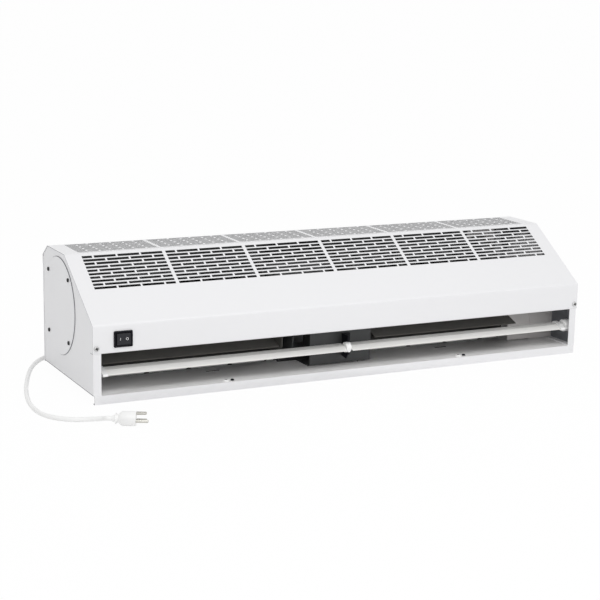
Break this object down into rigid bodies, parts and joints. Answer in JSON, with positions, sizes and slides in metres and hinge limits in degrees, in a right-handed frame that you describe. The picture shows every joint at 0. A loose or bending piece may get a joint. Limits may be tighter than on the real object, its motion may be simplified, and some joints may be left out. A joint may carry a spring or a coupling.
{
  "type": "air curtain",
  "caption": "Wall air curtain: slotted white case over two cross-flow blowers on one shaft, a swivelling outlet vane, a rocker switch, and a coiled mains cord with plug.",
  "frame": {"origin": "middle of the case's footprint on the wall plane", "axes": "+X along the case, -Y out of the air outlet, +Z away from the wall plane"},
  "size_m": [1.0006, 0.5541, 0.2125],
  "materials": {
    "case_paint": "white powder coat, satin",
    "galvanised": "galvanised sheet",
    "screw_steel": "plated steel",
    "black_plastic": "moulded, satin",
    "vane_plastic": "extruded, satin",
    "motor_steel": "dark grey paint",
    "dark_sheet": "dark sheet, matt",
    "wheel_steel": "dull steel",
    "bright_steel": "ground steel",
    "rubber": "moulded, matt",
    "white_plastic": "moulded",
    "cord_plastic": "soft white, satin",
    "plated_brass": "nickel plated"
  },
  "bodies": {
    "case": {"base_plate": "case_paint", "cover": "case_paint", "rear_panel": "case_paint", "wall_bracket": "galvanised", "left_end_cap": "case_paint", "left_round_cover": "case_paint", "left_cover_screw_1": "screw_steel", "left_cover_screw_2": "screw_steel", "left_cover_screw_3": "screw_steel", "left_cover_screw_4": "screw_steel", "left_front_screw": "screw_steel", "left_floor_screw": "screw_steel", "right_end_cap": "case_paint", "right_round_cover": "case_paint", "right_cover_screw_1": "screw_steel", "right_cover_screw_2": "screw_steel", "right_cover_screw_3": "screw_steel", "right_cover_screw_4": "screw_steel", "right_front_screw": "screw_steel", "right_floor_screw": "screw_steel", "switch_housing": "black_plastic", "left_vane_bearing": "vane_plastic", "right_vane_bearing": "vane_plastic", "vane_clip": "vane_plastic", "vane_bracket": "motor_steel", "motor_plate": "motor_steel", "motor_cradle": "motor_steel", "motor_casing": "motor_steel", "left_volute": "dark_sheet", "right_volute": "dark_sheet", "left_outer_side_plate": "dark_sheet", "left_inner_side_plate": "dark_sheet", "right_inner_side_plate": "dark_sheet", "right_outer_side_plate": "dark_sheet", "left_tongue": "dark_sheet", "right_tongue": "dark_sheet", "left_bearing": "bright_steel", "left_bearing_rubber": "rubber", "right_bearing": "bright_steel", "right_bearing_rubber": "rubber", "wiring_tray": "galvanised", "capacitor": "white_plastic", "capacitor_strap": "galvanised", "terminal_block": "white_plastic", "cord_gland": "cord_plastic", "cord_exit": "cord_plastic", "cord_coil": "cord_plastic", "cord_tie": "black_plastic", "cord_run": "cord_plastic", "plug_body": "cord_plastic", "plug_blade_line": "plated_brass", "plug_blade_neutral": "plated_brass", "plug_ground_pin": "plated_brass"},
    "rotor": {"left_wheel": "wheel_steel", "right_wheel": "wheel_steel", "shaft": "bright_steel"},
    "vane": {"vane_blade": "vane_plastic", "left_vane_cap": "vane_plastic", "right_vane_cap": "vane_plastic"},
    "rocker": {"switch_rocker": "black_plastic"}
  },
  "joints": [
    {"name": "rotor_spin", "type": "hinge", "parent": "case", "child": "rotor", "pos_m": [0, 0.0423, 0.124], "axis": [1, 0, 0], "continuous": true},
    {"name": "vane_swing", "type": "hinge", "parent": "case", "child": "vane", "pos_m": [0, -0.1027, 0.047], "axis": [1, 0, 0], "range_deg": [-30, 30]},
    {"name": "switch_rock", "type": "hinge", "parent": "case", "child": "rocker", "pos_m": [-0.401, -0.1207, 0.1015], "axis": [0, 0, 1], "range_deg": [-10, 10]}
  ]
}
